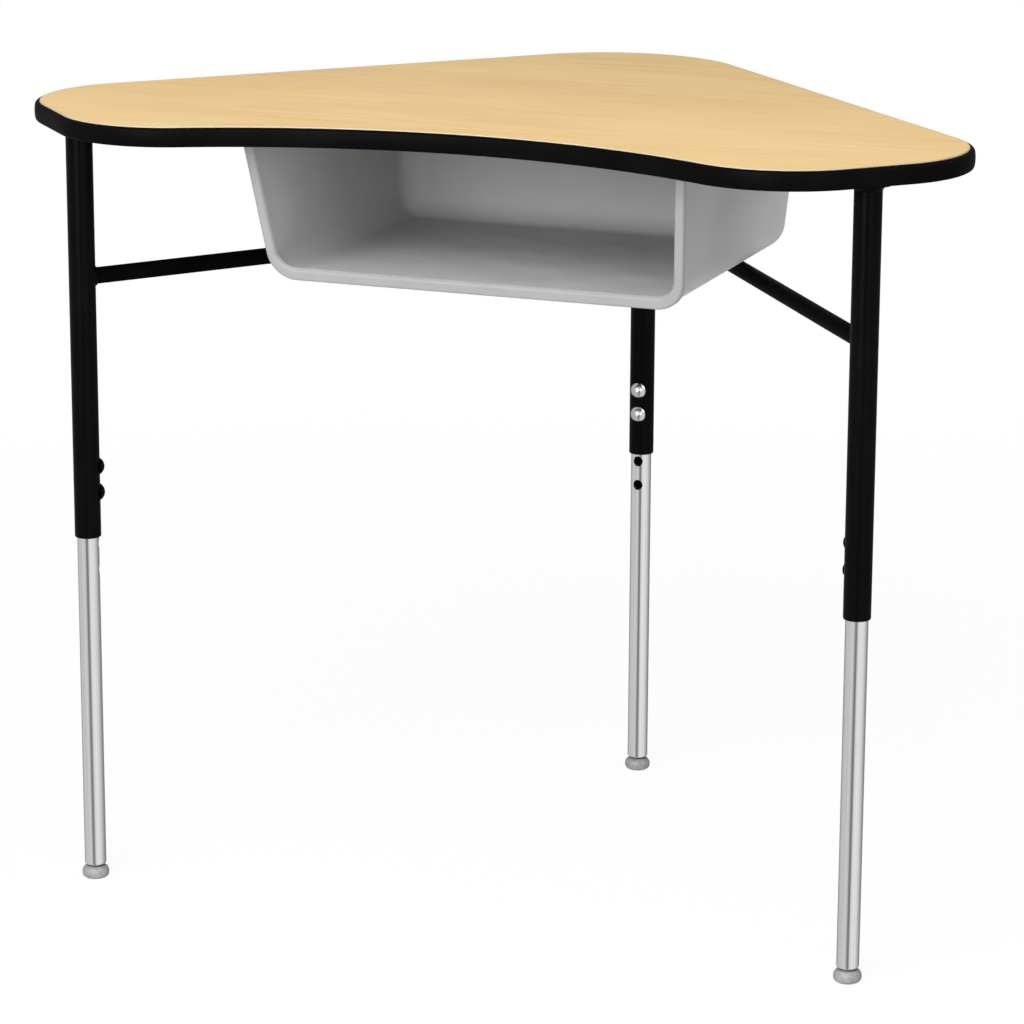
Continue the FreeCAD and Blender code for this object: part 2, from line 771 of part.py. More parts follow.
flanges = [flange(f"{name}_flange", side) for name, side in (("left", "-1"), ("right", "1"))]
nodes.append(boolean("Part::MultiFuse", "book_box", rounded_shell, *flanges))
nodes.append(wood_screws("box_screws", BOX_SCREWS, "underside - flange_thickness", "flange_thickness"))

# Bolts that hold the legs at their height
for name, x, y, bolt_turn, _ in LEGS:
    nodes.append(adjust_bolts(f"{name}_adjust_bolts", x, y, bolt_turn))


def leg_insert(label, x, y, turn):
    """The sliding lower tube: its end is rolled in, and its row of holes is drawn inwards as collars."""
    body = new_body(label, x, y, "insert_end_height", turn)
    tube = new_sketch(body, f"{label}_tube")
    circle(tube, "insert_radius")
    circle(tube, "insert_bore_radius")
    pad(body, tube, "insert_top - insert_end_height")
    rolled = new_sketch(body, f"{label}_rolled_end")
    circle(rolled, "insert_radius")
    circle(rolled, "insert_mouth_diameter / 2")
    pad(body, rolled, "insert_wall")
    outside = value("insert_diameter")
    round_edges(
        body,
        f"{label}_end_rounding",
        "insert_end_rounding",
        lambda edge: lies_at(edge, z=0) and edge.BoundBox.XLength > outside - 0.1,
    )
    lowest = "lowest_hole - insert_end_height"
    collar_face = new_sketch(body, f"{label}_collar", "YZ_Plane", "insert_bore_radius - insert_collar_length")
    circle(collar_face, "insert_hole_radius + insert_collar_wall", y=lowest)
    collar = pad(body, collar_face, "insert_collar_length + insert_wall")
    drill = new_sketch(body, f"{label}_hole", "YZ_Plane")
    circle(drill, "insert_hole_radius", y=lowest)
    hole = pocket(body, drill, "insert_radius + cut_margin")
    funnel_rim = new_sketch(body, f"{label}_funnel", "YZ_Plane", "insert_radius")
    circle(funnel_rim, "insert_hole_radius + insert_funnel_width", y=lowest)
    funnel = pocket(body, funnel_rim, "insert_funnel_depth", along_normal=False)
    bind(funnel, TaperAngle="-atan(insert_funnel_width / insert_funnel_depth)")
    row = body.newObject("PartDesign::LinearPattern", f"{label}_row")
    row.Originals = [collar, hole, funnel]
    row.Direction = (drill, ["V_Axis"])
    bind(row, Length="(hole_count - 1) * hole_pitch", Occurrences="hole_count")
    body.Tip = row
    doc.recompute()
    trim = new_sketch(body, f"{label}_trim")
    circle(trim, "insert_radius")
    circle(trim, "insert_radius + 2 * cut_margin")
    pocket(body, trim, "insert_top - insert_end_height")
    return body


def glide_plug(label, x, y):
    """A plug pressed into the insert's end, bored for the stud."""
    body = new_body(label, x, y, "plug_base")
    ring = new_sketch(body, f"{label}_ring")
    circle(ring, "insert_bore_radius - plug_fit")
    circle(ring, "stud_diameter / 2 + stud_clearance")
    pad(body, ring, "plug_length")
    return body


def ball(body, kind, name, radius):
    """Adds or cuts the ball of a glide's stud."""
    sphere = body.newObject(f"PartDesign::{kind}Sphere", name)
    sphere.AttachmentSupport = [(origin_plane(body, "XY_Plane"), "")]
    sphere.MapMode = "FlatFace"
    sphere.setExpression("AttachmentOffset.Base.z", bound("ball_height"))
    bind(sphere, Radius=radius)
    return sphere


def glide_stud(label, x, y):
    """A stud that turns in the plug, between its collar and its spread upper end, with a ball below."""
    body = new_body(label, x, y)
    ball(body, "Additive", f"{label}_ball", "ball_diameter / 2")
    stack = [
        ("neck", "neck_diameter", "ball_height", "collar_top"),
        ("collar", "collar_diameter", "collar_top - collar_thickness", "collar_top"),
        ("shank", "stud_diameter", "collar_top", "plug_base + plug_length + stud_play"),
        (
            "spread_end",
            "stud_end_diameter",
            "plug_base + plug_length + stud_play",
            "plug_base + plug_length + stud_play + stud_end_thickness",
        ),
    ]
    for name, diameter, low, high in stack:
        disc = new_sketch(body, f"{label}_{name}", lift=low)
        circle(disc, f"{diameter} / 2")
        pad(body, disc, f"{high} - ({low})")
    return body


def glide_base(label, x, y):
    """A bulged nylon foot with a socket that snaps over the stud's ball."""
    body = new_body(label, x, y)
    disc = new_sketch(body, f"{label}_disc")
    circle(disc, "glide_diameter / 2")
    pad(body, disc, "glide_height")
    height = value("glide_height")
    round_edges(body, f"{label}_top", "glide_top_rounding", lambda edge: lies_at(edge, z=height))
    round_edges(body, f"{label}_foot", "glide_foot_rounding", lambda edge: lies_at(edge, z=0))
    ball(body, "Subtractive", f"{label}_socket", "ball_diameter / 2 + ball_clearance")
    entry = new_sketch(body, f"{label}_entry", lift="ball_height")
    circle(entry, "glide_mouth_diameter / 2")
    pocket(body, entry, "glide_height")
    return body


# Leg inserts and glides
for name, x, y, bolt_turn, _ in LEGS:
    nodes.append(leg_insert(f"{name}_leg_insert", x, y, bolt_turn))
for name, x, y, _, _ in LEGS:
    nodes.append(glide_plug(f"{name}_glide_plug", x, y))
    nodes.append(glide_stud(f"{name}_glide_stud", x, y))
    nodes.append(glide_base(f"{name}_glide_base", x, y))

doc.recompute()
failed = [thing.Name for thing in doc.Objects if {"Invalid", "Error"} & set(thing.State)]
failed += [node.Label for node in nodes if node.Shape.isNull() or not node.Shape.isValid()]
if failed:
    raise ValueError(f"failed: {failed}")

os.makedirs("parts", exist_ok=True)
for node in nodes:
    node.Shape.exportStep(os.path.join("parts", f"{node.Label}.step"))
    print(f"{node.Label}: {len(node.Shape.Solids)} solids, {node.Shape.Volume / 1000:.2f} cm3")
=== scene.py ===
import math

import bpy
import numpy as np
from mathutils import Matrix, Vector


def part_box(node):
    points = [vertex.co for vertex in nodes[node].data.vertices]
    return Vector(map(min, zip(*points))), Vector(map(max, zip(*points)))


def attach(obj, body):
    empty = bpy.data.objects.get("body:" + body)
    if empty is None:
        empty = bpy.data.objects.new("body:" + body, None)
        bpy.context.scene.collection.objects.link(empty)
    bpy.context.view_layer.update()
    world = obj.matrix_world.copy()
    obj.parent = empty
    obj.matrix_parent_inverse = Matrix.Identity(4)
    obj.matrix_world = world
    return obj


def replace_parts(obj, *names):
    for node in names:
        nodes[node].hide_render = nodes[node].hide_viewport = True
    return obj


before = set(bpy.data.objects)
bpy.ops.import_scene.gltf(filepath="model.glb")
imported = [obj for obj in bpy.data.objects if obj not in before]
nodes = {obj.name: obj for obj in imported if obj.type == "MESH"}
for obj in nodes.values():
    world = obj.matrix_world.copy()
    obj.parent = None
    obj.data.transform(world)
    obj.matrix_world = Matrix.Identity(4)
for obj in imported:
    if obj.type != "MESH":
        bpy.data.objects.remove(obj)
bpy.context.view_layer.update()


# Desktop core
# A slab of particleboard, sawn to the desktop's plan shape and grooved round its edge.
# The two sheets and the band cover all of it.
CHIP_COLOURS = [(0.0, (0.20, 0.11, 0.045, 1)), (0.5, (0.42, 0.27, 0.13, 1)), (1.0, (0.62, 0.45, 0.26, 1))]
CHIPS_PER_METRE = 420
CHIP_ROUGHNESS = 0.9
CHIP_RELIEF = 0.0004


def start_finish(name):
    """Starts a node material: returns it, its node tree and its shader."""
    material = bpy.data.materials.new(name)
    material.use_nodes = True
    return material, material.node_tree, material.node_tree.nodes["Principled BSDF"]


def add_node(tree, kind, links=(), values=(), **settings):
    """Adds a shader node with its settings, its fixed inputs and its linked inputs."""
    node = tree.nodes.new(kind)
    for name, setting in settings.items():
        setattr(node, name, setting)
    for name, value in dict(values).items():
        node.inputs[name].default_value = value
    for name, output in dict(links).items():
        tree.links.new(output, node.inputs[name])
    return node


def place_pattern(tree, stretch=(1, 1, 1), turn=(0, 0, 0)):
    """Object coordinates in metres, stretched and turned for one pattern."""
    source = add_node(tree, "ShaderNodeTexCoord")
    values = {"Scale": stretch, "Rotation": turn}
    return add_node(tree, "ShaderNodeMapping", {"Vector": source.outputs["Object"]}, values).outputs["Vector"]


def speckle(tree, scale, detail=4.0, roughness=0.55, stretch=(1, 1, 1), turn=(0, 0, 0), distortion=0.0):
    """Soft random noise from 0 to 1, about scale spots to the metre."""
    values = {"Scale": scale, "Detail": detail, "Roughness": roughness, "Distortion": distortion}
    place = place_pattern(tree, stretch, turn)
    return add_node(tree, "ShaderNodeTexNoise", {"Vector": place}, values).outputs["Fac"]


def ramp(tree, source, stops):
    """Turns a number from 0 to 1 into a colour."""
    node = add_node(tree, "ShaderNodeValToRGB", {"Fac": source})
    while len(node.color_ramp.elements) < len(stops):
        node.color_ramp.elements.new(1.0)
    for element, (position, colour) in zip(node.color_ramp.elements, stops):
        element.position = position
        element.color = colour
    return node.outputs["Color"]


def spread(tree, source, low, high):
    """Spreads a number from 0 to 1 over low to high."""
    node = add_node(tree, "ShaderNodeMapRange", {"Value": source}, {"To Min": low, "To Max": high})
    return node.outputs["Result"]


def roughen(tree, shader, height, depth):
    """Gives the surface a relief whose full height is depth, in metres."""
    values = {"Strength": 1.0, "Distance": depth}
    bump = add_node(tree, "ShaderNodeBump", {"Height": height}, values)
    tree.links.new(bump.outputs["Normal"], shader.inputs["Normal"])


def particleboard():
    """Wood chips of several browns, pressed together, with a rough open face."""
    material, tree, shader = start_finish("particleboard")
    place = place_pattern(tree)
    chips = add_node(tree, "ShaderNodeTexVoronoi", {"Vector": place}, {"Scale": CHIPS_PER_METRE})
    shade = add_node(tree, "ShaderNodeSeparateColor", {"Color": chips.outputs["Color"]})
    tree.links.new(ramp(tree, shade.outputs["Red"], CHIP_COLOURS), shader.inputs["Base Color"])
    shader.inputs["Roughness"].default_value = CHIP_ROUGHNESS
    roughen(tree, shader, chips.outputs["Distance"], CHIP_RELIEF)
    return material


def dress(material, *names):
    """Gives CAD nodes a material."""
    for name in names:
        nodes[name].data.materials.clear()
        nodes[name].data.materials.append(material)


dress(particleboard(), "desktop_core")


# Backer sheet
# Brown kraft paper, soaked in resin and pressed on the core's underside, so that the slab stays flat.
# It is matt and a little mottled.
KRAFT_BROWNS = [(0.3, (0.030, 0.019, 0.012, 1)), (0.7, (0.062, 0.040, 0.026, 1))]
KRAFT_ROUGHNESS = (0.5, 0.7)
KRAFT_RELIEF = 0.00004


def kraft_backer():
    """Dark brown paper under resin, mottled along its length."""
    material, tree, shader = start_finish("kraft_backer")
    mottle = speckle(tree, 38, detail=6, stretch=(0.35, 1, 1))
    tree.links.new(ramp(tree, mottle, KRAFT_BROWNS), shader.inputs["Base Color"])
    tree.links.new(spread(tree, mottle, *KRAFT_ROUGHNESS), shader.inputs["Roughness"])
    roughen(tree, shader, speckle(tree, 900, detail=2), KRAFT_RELIEF)
    return material


dress(kraft_backer(), "backer_sheet")


# Maple laminate
# A decorative sheet with printed maple grain, glued on the core. Its top edge is eased with a trimmer,
# which bares the sheet's tan body all the way round.
REAR_CORNER_RADIUS = 0.133
ARM_OUTER_RADIUS = 0.105
ARM_FRONT_RADIUS = 0.105
FRONT_CURVE_RADIUS = 0.543
ARM_OUTER_SETBACK = 0.15875
ARM_FRONT_INSET = 0.156
LAMINATE_EASE = 0.0008
EASE_POINTS = 5
EASE_MARGIN = 1.2 * LAMINATE_EASE
INNER_RING_SHARES = (0.4, 0.75, 0.98)
ARC_STEP = math.radians(1.5)
ARC_LEAST_POINTS = 8
SAME_POINT = 1e-6
SHARP_ABOVE = math.radians(35)
_, core_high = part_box("desktop_core")
laminate_low, laminate_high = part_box("top_laminate")
band_low, band_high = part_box("edge_band")
half_depth = (band_high.y - band_low.y) / 2
half_width = round((band_high.x - band_low.x) / 2, 3)
band_proud = band_high.y - core_high.y


def tangent_angle(start, start_radius, end, end_radius):
    """The outward normal of the line that touches two circles on the right of the way between them:
    the way's own angle less the arc cosine of the radii's difference over its length."""
    way = end - start
    lean = math.acos((start_radius - end_radius) / math.hypot(*way))
    return math.atan2(way[1], way[0]) - lean


def desktop_edge():
    """The core's plan shape, anticlockwise: points on its edge and outward normals. Each round stretch is
    centre + radius (cos a, sin a), and the straight sides join the ends of the arcs."""
    rear = np.array([0.0, half_depth - band_proud - REAR_CORNER_RADIUS])
    outer = np.array([half_width - band_proud - ARM_OUTER_RADIUS, ARM_OUTER_SETBACK - half_depth])
    front = np.array([half_width - ARM_FRONT_INSET, band_proud + ARM_FRONT_RADIUS - half_depth])
    reach = ARM_FRONT_RADIUS + FRONT_CURVE_RADIUS
    curve = np.array([0.0, front[1] - math.sqrt(reach**2 - front[0] ** 2)])
    side = tangent_angle(outer, ARM_OUTER_RADIUS, rear, REAR_CORNER_RADIUS)
    end = tangent_angle(front, ARM_FRONT_RADIUS, outer, ARM_OUTER_RADIUS)
    inward = math.atan2(curve[1] - front[1], curve[0] - front[0])
    bend = math.atan2(front[1] - curve[1], front[0] - curve[0])
    mirror = np.array([-1.0, 1.0])
    arcs = [
        (rear, REAR_CORNER_RADIUS, side, math.pi - side, 1),
        (outer * mirror, ARM_OUTER_RADIUS, math.pi - side, math.pi - end, 1),
        (front * mirror, ARM_FRONT_RADIUS, math.pi - end, math.pi - inward, 1),
        (curve, FRONT_CURVE_RADIUS, math.pi - bend, bend, -1),
        (front, ARM_FRONT_RADIUS, inward, end, 1),
        (outer, ARM_OUTER_RADIUS, end, side, 1),
    ]
    points, normals = [], []
    for centre, radius, start, finish, outwards in arcs:
        count = max(ARC_LEAST_POINTS, round(abs(finish - start) / ARC_STEP))
        angles = np.linspace(start, finish, count)
        ray = np.stack([np.cos(angles), np.sin(angles)], axis=1)
        points.append(centre + radius * ray)
        normals.append(outwards * ray)
    edge, normal = np.concatenate(points), np.concatenate(normals)
    apart = np.linalg.norm(edge - np.roll(edge, 1, axis=0), axis=1) > SAME_POINT
    return edge[apart], normal[apart]


def grid_faces(rows, columns, close_rows=False):
    """Quads between neighbours in a grid. Its columns close on themselves, and so do its rows if asked."""
    row, column = np.meshgrid(
        np.arange(rows if close_rows else rows - 1),
        np.arange(columns),
        indexing="ij",
    )
    next_row, next_column = (row + 1) % rows, (column + 1) % columns
    quads = [row * columns + column, row * columns + next_column]
    quads += [next_row * columns + next_column, next_row * columns + column]
    return np.stack(quads, axis=-1).reshape(-1, 4)


def make_piece(name, points, faces, material, body):
    """Puts a grid's points and faces into a mesh object that moves with a body."""
    mesh = bpy.data.meshes.new(name)
    mesh.from_pydata(np.asarray(points).reshape(-1, 3).tolist(), [], [list(face) for face in faces])
    mesh.validate()
    mesh.shade_smooth()
    mesh.set_sharp_from_angle(angle=SHARP_ABOVE)
    mesh.materials.append(material)
    piece = bpy.data.objects.new(name, mesh)
    bpy.context.scene.collection.objects.link(piece)
    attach(piece, body)
    return piece


def carry_profile(edge, normal, outwards, heights):
    """A profile carried along the desktop's edge: point (u, v) is edge(u) + outwards(v) normal(u), at
    height(v). Rows follow the profile and columns the edge."""
    flat = edge[None] + outwards[:, None, None] * normal[None]
    tall = np.broadcast_to(heights[:, None, None], (*flat.shape[:2], 1))
    return np.concatenate([flat, tall], axis=2)


MAPLE_PALE = (0.818, 0.594, 0.304, 1)
MAPLE_MID = (0.775, 0.545, 0.259, 1)
MAPLE_DARK = (0.712, 0.478, 0.211, 1)
MAPLE_BARED = (0.460, 0.375, 0.265, 1)
MAPLE_ROUGHNESS = (0.44, 0.54)
MAPLE_GLOSS = 0.22
MAPLE_RELIEF = 0.00002
PORE_TONES = (0.93, 1.05)


def mix_colours(tree, share, first, second):
    """The first colour where share is 0 and the second where it is 1. Each is fixed or a node's output."""
    mix = add_node(tree, "ShaderNodeMix", data_type="RGBA")
    sockets = {socket.identifier: socket for socket in (*mix.inputs, *mix.outputs)}
    tree.links.new(share, sockets["Factor_Float"])
    for name, colour in (("A_Color", first), ("B_Color", second)):
        if isinstance(colour, tuple):
            sockets[name].default_value = colour
        else:
            tree.links.new(colour, sockets[name])
    return sockets["Result_Color"]


def maple_laminate():
    """Printed maple: long soft grain along the width, broad mottling, short dark pores and a satin face.
    The attribute eased is 1 on the trimmed edge, where the sheet's tan body shows."""
    material, tree, shader = start_finish("maple_laminate")
    grain = speckle(tree, 9, detail=8, roughness=0.6, stretch=(0.55, 9, 1), distortion=0.6)
    mottle = speckle(tree, 7, detail=3, stretch=(0.6, 1.5, 1), turn=(0, 0, 0.12))
    pores = speckle(tree, 60, detail=3, roughness=0.7, stretch=(0.35, 12, 1))
    blended = add_node(tree, "ShaderNodeMix", {"A": grain, "B": mottle}, {"Factor": 0.5}).outputs["Result"]
    wood = ramp(tree, blended, [(0.34, MAPLE_DARK), (0.5, MAPLE_MID), (0.66, MAPLE_PALE)])
    links = {0: wood, "Scale": spread(tree, pores, *PORE_TONES)}
    toned = add_node(tree, "ShaderNodeVectorMath", links, operation="SCALE").outputs["Vector"]
    eased = add_node(tree, "ShaderNodeAttribute", attribute_name="eased").outputs["Fac"]
    tree.links.new(mix_colours(tree, eased, toned, MAPLE_BARED), shader.inputs["Base Color"])
    tree.links.new(spread(tree, mottle, *MAPLE_ROUGHNESS), shader.inputs["Roughness"])
    shader.inputs["Specular IOR Level"].default_value = MAPLE_GLOSS
    roughen(tree, shader, speckle(tree, 1500, detail=2), MAPLE_RELIEF)
    return material


def laminate_sheet():
    """Rings from the middle out to the edge, then over the eased corner and down: within the sheet a ring
    is the edge drawn towards the middle, and at the corner it follows a quarter round."""
    edge, normal = desktop_edge()
    top, bottom = laminate_high.z, laminate_low.z
    inner = [np.column_stack([edge * share, np.full(len(edge), top)]) for share in INNER_RING_SHARES]
    quarter = np.linspace(0, math.pi / 2, EASE_POINTS)
    outwards = np.concatenate([[-EASE_MARGIN], LAMINATE_EASE * (np.sin(quarter) - 1), [0]])
    heights = np.concatenate([[top], top - LAMINATE_EASE * (1 - np.cos(quarter)), [bottom]])
    rings = np.concatenate([np.array(inner), carry_profile(edge, normal, outwards, heights)])
    faces = [list(face)[::-1] for face in grid_faces(*rings.shape[:2])]
    first, last = np.arange(len(edge)), np.arange(len(edge)) + (len(rings) - 1) * len(edge)
    faces += [first.tolist(), last[::-1].tolist()]
    piece = make_piece("maple_laminate", rings, faces, maple_laminate(), "frame")
    eased = np.zeros(rings.shape[:2], np.float32)
    eased[len(inner) + 1 :] = 1
    piece.data.attributes.new("eased", "FLOAT", "POINT").data.foreach_set("value", eased.ravel())
    return piece


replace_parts(laminate_sheet(), "top_laminate")


# Edge band
# Black vinyl T-moulding, pushed by its barb into the core's groove. Its face ends level with the core's top,
# so that the laminate's edge shows above it. It is a little crowned, and rounded at the top and bottom.
BAND_ROUNDING = 0.0036
ROUNDING_POINTS = 9
BAND_CROWN = 0.0004
CROWN_POINTS = 5
BARB_LENGTH = 0.009
BARB_THICKNESS = 0.0024
VINYL_BLACKS = [(0.3, (0.0015, 0.0015, 0.0016, 1)), (0.7, (0.0027, 0.0027, 0.0029, 1))]
VINYL_ROUGHNESS = (0.36, 0.46)
VINYL_GLOSS = 0.016
VINYL_RELIEF = 0.00003


def black_vinyl():
    """Black vinyl with a fine grain and a satin gloss."""
    material, tree, shader = start_finish("black_vinyl")
    grain = speckle(tree, 1400, detail=3)
    tone = ramp(tree, speckle(tree, 14), VINYL_BLACKS)
    tree.links.new(tone, shader.inputs["Base Color"])
    tree.links.new(spread(tree, grain, *VINYL_ROUGHNESS), shader.inputs["Roughness"])
    shader.inputs["Specular IOR Level"].default_value = VINYL_GLOSS
    roughen(tree, shader, grain, VINYL_RELIEF)
    return material


def band_profile():
    """Half the face from its top inner corner: out, round a quarter circle and down to the crown, mirrored
    for the lower half, then back in along the barb."""
    height = laminate_low.z - band_low.z
    groove_rise = (band_high.z - laminate_low.z) / 2
    turn = np.linspace(math.pi / 2, 0, ROUNDING_POINTS)
    flat = band_proud - BAND_CROWN - BAND_ROUNDING
    outwards = flat + BAND_ROUNDING * np.cos(turn)
    above = height / 2 - BAND_ROUNDING + BAND_ROUNDING * np.sin(turn)
    crown = np.linspace(1, 0, CROWN_POINTS)[1:]
    outwards = np.concatenate([[0], outwards, band_proud - BAND_CROWN * crown**2])
    above = np.concatenate([[height / 2], above, (height / 2 - BAND_ROUNDING) * crown])
    outwards = np.concatenate([outwards, outwards[-2::-1], [0, -BARB_LENGTH, -BARB_LENGTH, 0]])
    barb = groove_rise + BARB_THICKNESS / 2 * np.array([-1, -1, 1, 1])
    above = np.concatenate([above, -above[-2::-1], barb])
    return outwards, band_low.z + height / 2 + above


edge, normal = desktop_edge()
band_points = carry_profile(edge, normal, *band_profile())
band_faces = grid_faces(*band_points.shape[:2], close_rows=True)[:, ::-1]
edge_band = make_piece("edge_band_face", band_points, band_faces, black_vinyl(), "frame")
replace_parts(edge_band, "edge_band")


# Mount plates, upper legs and braces
# Steel plate and tube, welded into one frame and powder coated black after welding. The coat is smooth
# with a slight orange peel. The braces get a copy of it with its gloss nearly cut: painted shade that keeps
# lamp reflections off them.
LEG_NAMES = ("left", "right", "rear")
COAT_BLACKS = [(0.3, (0.0012, 0.0012, 0.0013, 1)), (0.7, (0.0022, 0.0022, 0.0024, 1))]
COAT_ROUGHNESS = (0.20, 0.26)
COAT_RELIEF = 0.000015
LEG_GLOSS = 0.035
# Painted shade: the braces' copy of the coat has almost no gloss, so they reflect almost none of the lamps.
BRACE_SHADE_GLOSS = 0.004


def powder_coat(name, gloss):
    """Black coat with a shallow orange peel and a soft gloss."""
    material, tree, shader = start_finish(name)
    peel = speckle(tree, 420, detail=2)
    tone = ramp(tree, speckle(tree, 22), COAT_BLACKS)
    tree.links.new(tone, shader.inputs["Base Color"])
    tree.links.new(spread(tree, peel, *COAT_ROUGHNESS), shader.inputs["Roughness"])
    shader.inputs["Specular IOR Level"].default_value = gloss
    roughen(tree, shader, peel, COAT_RELIEF)
    return material


black_coat = powder_coat("powder_coat", LEG_GLOSS)
dress(black_coat, *(f"{leg}_{piece}" for leg in LEG_NAMES for piece in ("mount_plate", "upper_leg")))
# The braces' coat is the same black with its gloss nearly cut, as painted shade.
dress(powder_coat("brace_coat_painted_shade", BRACE_SHADE_GLOSS), "left_brace", "right_brace")


# Welds
# Beads under the same black coat: one round the top of each leg, against its plate, and one round each
# end of a brace, where it meets a leg.
LEG_RADIUS = 0.0127
BRACE_RADIUS = 0.00795
BRACE_REAR_OFFSET = 0.0016
LEG_BEAD_WIDTH = 0.0030
LEG_BEAD_HEIGHT = 0.0042
LEG_BEAD_FLARE = 1.5
LEG_BEAD_ROWS = 9
LEG_BEAD_POINTS = 96
LEG_BEAD_RIPPLES = 24
BRACE_BEAD_RADIUS = 0.0020
BRACE_BEAD_POINTS = 72
BRACE_BEAD_SIDES = 12
BRACE_BEAD_RIPPLES = 18
BEAD_RIPPLE = 0.00022
BEAD_DEPTH = 0.0003


def middle_of(name):
    """The middle of a CAD node's box."""
    low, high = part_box(name)
    return (np.array(low) + np.array(high)) / 2


def leg_bead(leg):
    """A flared collar: at angle a and share t of its height, the radius is the leg's plus the bead's width
    times (1 - t) to the flare's power, with a ripple round it. It is closed inside the tube's wall."""
    centre = middle_of(f"{leg}_upper_leg")
    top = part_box(f"{leg}_upper_leg")[1].z
    around = np.linspace(0, 2 * math.pi, LEG_BEAD_POINTS, endpoint=False)[None, :]
    share = np.linspace(0, 1, LEG_BEAD_ROWS)[:, None]
    ripple = BEAD_RIPPLE * (1 - share) * np.cos(LEG_BEAD_RIPPLES * around)
    radius = LEG_RADIUS + LEG_BEAD_WIDTH * (1 - share) ** LEG_BEAD_FLARE + ripple
    height = np.broadcast_to(top - LEG_BEAD_HEIGHT * share, radius.shape)
    inner = np.full((2, radius.shape[1]), LEG_RADIUS - BEAD_DEPTH)
    radius = np.concatenate([radius, inner])
    height = np.concatenate([height, height[[-1, 0]]])
    across, deep = centre[0] + radius * np.cos(around), centre[1] + radius * np.sin(around)
    points = np.stack([across, deep, height], axis=-1)
    faces = grid_faces(*points.shape[:2], close_rows=True)[:, ::-1]
    return make_piece(f"{leg}_leg_bead", points, faces, black_coat, "frame")


def brace_bead(name, leg, heading):
    """A round bead carried along the line where a brace's tube meets a leg's: at angle a round the brace, the
    line lies sqrt(leg radius^2 - (brace radius cos a)^2) from the leg's axis."""
    start = np.array([*middle_of(f"{leg}_upper_leg")[:2], middle_of("left_brace")[2]])
    along = np.array([math.cos(heading), math.sin(heading), 0])
    across = np.array([-along[1], along[0], 0])
    around = np.linspace(0, 2 * math.pi, BRACE_BEAD_POINTS, endpoint=False)[:, None, None]
    turn = np.linspace(0, 2 * math.pi, BRACE_BEAD_SIDES, endpoint=False)[None, :, None]
    bead = BRACE_BEAD_RADIUS + BEAD_RIPPLE * np.cos(BRACE_BEAD_RIPPLES * around)
    rise = np.array([0, 0, 1])
    out = np.cos(around) * across + np.sin(around) * rise
    reach = np.sqrt(LEG_RADIUS**2 - (BRACE_RADIUS * np.cos(around)) ** 2)
    away = BRACE_RADIUS - BEAD_DEPTH + bead * np.sin(turn)
    points = start + (reach + bead * np.cos(turn)) * along + away * out
    faces = grid_faces(*points.shape[:2], close_rows=True)[:, ::-1]
    return make_piece(name, points, faces, black_coat, "frame")


for leg in LEG_NAMES:
    leg_bead(leg)
for side, sign in (("left", -1), ("right", 1)):
    way = middle_of("rear_upper_leg") - middle_of(f"{side}_upper_leg")
    heading = math.atan2(way[1], way[0] + sign * BRACE_REAR_OFFSET)
    brace_bead(f"{side}_brace_front_bead", side, heading)
    brace_bead(f"{side}_brace_rear_bead", "rear", heading + math.pi)


# Wood screws
# Pan-head screws that hold the plates and the book box to the core. They are turned from steel and plated
# with bright zinc.
ZINC_GREYS = [(0.3, (0.52, 0.53, 0.54, 1)), (0.7, (0.72, 0.73, 0.74, 1))]
ZINC_RELIEF = 0.00002


def zinc_plate(name, roughness):
    """Bright zinc with fine turning marks."""
    material, tree, shader = start_finish(name)
    shader.inputs["Metallic"].default_value = 1.0
    marks = speckle(tree, 700, detail=4, stretch=(1, 1, 3))
    tree.links.new(ramp(tree, marks, ZINC_GREYS), shader.inputs["Base Color"])
    tree.links.new(spread(tree, marks, roughness - 0.06, roughness + 0.08), shader.inputs["Roughness"])
    roughen(tree, shader, marks, ZINC_RELIEF)
    return material


dress(zinc_plate("zinc_screws", 0.32), "plate_screws", "box_screws")


# Book box
# One moulding of grey plastic, open at the front. Its faces have the fine grain of the mould and a soft
# sheen. The forward faces of its thick rim are painted a darker grey: painted shade that dims them under the
# front lamps.
BOX_GREYS = [(0.3, (0.488, 0.490, 0.491, 1)), (0.7, (0.532, 0.534, 0.535, 1))]
# Painted shade: darker greys for the rim's forward faces, which face the front lamps.
RIM_SHADE_GREYS = [(0.3, (0.225, 0.226, 0.226, 1)), (0.7, (0.255, 0.256, 0.256, 1))]
BOX_ROUGHNESS = (0.46, 0.58)
BOX_GLOSS = 0.2
WAVE_RELIEF = 0.0022
GRAIN_SHARE = 0.02
RIM_DEPTH = 0.007
RIM_FULL_DEPTH = 0.4 * RIM_DEPTH
RIM_FACING = {"From Min": -0.2, "From Max": 0.5}
# The mouth's lower and upper edge, as Y and Z
MOUTH_LOW = np.array([-0.1965, 0.6085])
MOUTH_HIGH = np.array([-0.2325, 0.7430])


def rim_shade_share(tree):
    """Where the rim's painted shade goes: 1 where the surface faces forwards on the mouth's plane, and 0 at
    the rim's depth behind the plane or where the surface turns away: the distance from a point to the plane
    is its offset from the plane's lower edge along the plane's normal."""
    along = (MOUTH_HIGH - MOUTH_LOW) / np.linalg.norm(MOUTH_HIGH - MOUTH_LOW)
    ahead = (0.0, -along[1], along[0])
    edge = -along[1] * MOUTH_LOW[0] + along[0] * MOUTH_LOW[1]
    near = {"From Min": edge - RIM_DEPTH, "From Max": edge - RIM_FULL_DEPTH}
    normal = add_node(tree, "ShaderNodeNewGeometry").outputs["Normal"]
    shares = []
    for source, limits in ((place_pattern(tree), near), (normal, RIM_FACING)):
        part = add_node(tree, "ShaderNodeVectorMath", {0: source}, operation="DOT_PRODUCT")
        part.inputs[1].default_value = ahead
        share = add_node(tree, "ShaderNodeMapRange", {"Value": part.outputs["Value"]}, limits)
        shares.append(share.outputs["Result"])
    both = add_node(tree, "ShaderNodeMath", {0: shares[0], 1: shares[1]}, operation="MULTIPLY")
    return both.outputs["Value"]


